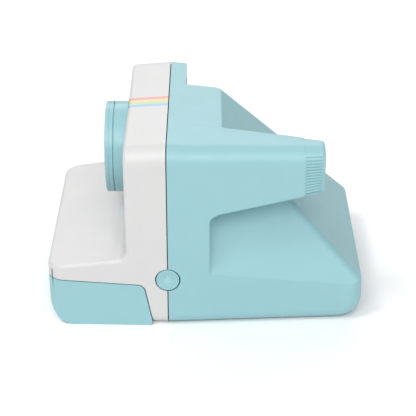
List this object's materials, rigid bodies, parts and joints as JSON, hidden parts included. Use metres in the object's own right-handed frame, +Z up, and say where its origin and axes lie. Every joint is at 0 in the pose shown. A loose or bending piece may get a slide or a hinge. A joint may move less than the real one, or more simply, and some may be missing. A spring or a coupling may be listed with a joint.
{
  "type": "instant camera",
  "caption": "Box-shaped instant film camera with a lens barrel over a film-exit nose, hinged film door with rollers, sloping mirror housing, tapered viewfinder and sprung buttons.",
  "frame": {"origin": "on the flat underside, midway between the sides, directly under the seam between the front and rear shells", "axes": "+Z up; the lens looks along -Y, so +Y is the rear; +X is the camera's own left, the side with the viewfinder"},
  "size_m": [0.11, 0.1498, 0.0934],
  "materials": {
    "aluminium": "drawn can",
    "battery_wrap": "wrap",
    "black_plastic": "matt",
    "board_green": "solder mask",
    "brass": "turned",
    "chrome_foil": "polished",
    "dark_window": "tinted, polished",
    "diffuser": "ribbed, clear",
    "film_paper": "glossy sheets",
    "grey_plastic": "matt",
    "lens_glass": "coated",
    "mirror_glass": "front silvered",
    "orange_button": "satin gloss",
    "rubber": "soft",
    "screw_steel": "blackened",
    "sheet_steel": "stamped",
    "steel": "ground",
    "stripe_print": "printed bands in five colours",
    "teal_gloss": "satin gloss",
    "teal_shell": "fine satin",
    "white_plastic": "satin",
    "white_shell": "fine satin",
    "window_glass": "clear"
  },
  "bodies": {
    "camera_body": {"base_plate": "grey_plastic", "battery": "battery_wrap", "button_switches": "black_plastic", "case_screws": "screw_steel", "charging_port": "sheet_steel", "chassis": "black_plastic", "display_panel": "dark_window", "door_hinge_pin": "steel", "drive_motor": "aluminium", "eyecup": "teal_shell", "eyepiece_lens": "lens_glass", "film_cassette": "black_plastic", "film_sheets": "film_paper", "finder_objective": "lens_glass", "finder_tube": "black_plastic", "finder_window": "window_glass", "flash_capacitor": "black_plastic", "flash_reflector": "chrome_foil", "flash_tube": "diffuser", "flash_window": "diffuser", "front_lens": "lens_glass", "front_shell": "white_shell", "gear_plate": "sheet_steel", "lens_barrel_front": "teal_gloss", "lens_barrel_rear": "teal_gloss", "lens_bezel": "black_plastic", "lens_cell": "black_plastic", "light_hood": "black_plastic", "light_seal": "rubber", "main_board": "board_green", "mirror": "mirror_glass", "pressure_plate": "sheet_steel", "rear_lens": "lens_glass", "rear_shell": "teal_shell", "sensor_windows": "dark_window", "shutter_cover": "black_plastic", "shutter_housing": "black_plastic", "trim_stripe": "stripe_print"},
    "film_door": {"film_door": "teal_gloss", "door_hook": "grey_plastic", "roller_bracket": "sheet_steel", "roller_bushes": "grey_plastic"},
    "lower_roller": {"lower_roller": "steel", "lower_roller_gear": "white_plastic"},
    "upper_roller": {"upper_roller": "steel", "upper_roller_gear": "white_plastic"},
    "idler_gear": {"idler_gear": "white_plastic"},
    "second_gear": {"second_gear": "white_plastic"},
    "first_gear": {"first_gear": "white_plastic"},
    "motor_pinion": {"motor_pinion": "brass"},
    "shutter_blade_left": {"shutter_blade_left": "screw_steel"},
    "shutter_blade_right": {"shutter_blade_right": "screw_steel"},
    "focus_disc": {"focus_disc": "black_plastic", "focus_lenses": "lens_glass"},
    "pick_arm": {"pick_arm": "sheet_steel"},
    "shutter_button": {"shutter_button": "orange_button"},
    "timer_button": {"timer_button": "white_plastic"},
    "power_button": {"power_button": "white_plastic"},
    "flash_button": {"flash_button": "grey_plastic"},
    "release_button": {"release_button": "teal_gloss"}
  },
  "joints": [
    {"name": "film_door_hinge", "type": "hinge", "parent": "camera_body", "child": "film_door", "pos_m": [0, -0.0099, 0.0022], "axis": [1, 0, 0], "range_deg": [0, 75]},
    {"name": "lower_roller_spin", "type": "hinge", "parent": "film_door", "child": "lower_roller", "pos_m": [0, -0.047, 0.0185], "axis": [1, 0, 0], "continuous": true},
    {"name": "upper_roller_spin", "type": "hinge", "parent": "film_door", "child": "upper_roller", "pos_m": [0, -0.047, 0.0263], "axis": [1, 0, 0], "continuous": true},
    {"name": "idler_gear_spin", "type": "hinge", "parent": "camera_body", "child": "idler_gear", "pos_m": [-0.0501, -0.0407, 0.0209], "axis": [1, 0, 0], "continuous": true},
    {"name": "second_gear_spin", "type": "hinge", "parent": "camera_body", "child": "second_gear", "pos_m": [-0.0501, -0.0314, 0.0239], "axis": [1, 0, 0], "continuous": true},
    {"name": "first_gear_spin", "type": "hinge", "parent": "camera_body", "child": "first_gear", "pos_m": [-0.0501, -0.017, 0.0259], "axis": [1, 0, 0], "continuous": true},
    {"name": "motor_pinion_spin", "type": "hinge", "parent": "camera_body", "child": "motor_pinion", "pos_m": [-0.0501, -0.0102, 0.0324], "axis": [1, 0, 0], "continuous": true},
    {"name": "shutter_blade_left_swing", "type": "hinge", "parent": "camera_body", "child": "shutter_blade_left", "pos_m": [0.0125, -0.01, 0.0629], "axis": [0, -1, 0], "range_deg": [0, 50], "stiffness_Nm_per_rad": 0.0002, "springref_deg": -17.19},
    {"name": "shutter_blade_right_swing", "type": "hinge", "parent": "camera_body", "child": "shutter_blade_right", "pos_m": [-0.0125, -0.0092, 0.0629], "axis": [0, -1, 0], "range_deg": [-50, 0]},
    {"name": "focus_disc_turn", "type": "hinge", "parent": "camera_body", "child": "focus_disc", "pos_m": [-0.0057, -0.0062, 0.0632], "axis": [0, 1, 0], "range_deg": [0, 90]},
    {"name": "pick_arm_slide", "type": "slide", "parent": "camera_body", "child": "pick_arm", "axis": [0, -1, 0], "range_m": [0, 0.005], "stiffness_N_per_m": 60, "springref_m": -0.002},
    {"name": "shutter_button_press", "type": "slide", "parent": "camera_body", "child": "shutter_button", "axis": [0, 1, 0], "range_m": [0, 0.0012], "stiffness_N_per_m": 400, "springref_m": -0.0006},
    {"name": "timer_button_press", "type": "slide", "parent": "camera_body", "child": "timer_button", "axis": [0, 1, 0], "range_m": [0, 0.001], "stiffness_N_per_m": 300, "springref_m": -0.0005},
    {"name": "power_button_press", "type": "slide", "parent": "camera_body", "child": "power_button", "axis": [0, -1, 0], "range_m": [0, 0.0008], "stiffness_N_per_m": 300, "springref_m": -0.0005},
    {"name": "flash_button_press", "type": "slide", "parent": "camera_body", "child": "flash_button", "axis": [0, -1, 0], "range_m": [0, 0.0008], "stiffness_N_per_m": 300, "springref_m": -0.0005},
    {"name": "release_button_press", "type": "slide", "parent": "camera_body", "child": "release_button", "axis": [-1, 0, 0], "range_m": [0, 0.002], "stiffness_N_per_m": 400, "springref_m": -0.001}
  ],
  "couplings": [
    {"joint": "upper_roller_spin", "follows": "lower_roller_spin", "ratio": -1},
    {"joint": "idler_gear_spin", "follows": "lower_roller_spin", "ratio": -1.7273},
    {"joint": "second_gear_spin", "follows": "lower_roller_spin", "ratio": 0.54286},
    {"joint": "first_gear_spin", "follows": "lower_roller_spin", "ratio": -0.54286},
    {"joint": "motor_pinion_spin", "follows": "lower_roller_spin", "ratio": 1.9},
    {"joint": "shutter_blade_right_swing", "follows": "shutter_blade_left_swing", "ratio": -1}
  ]
}
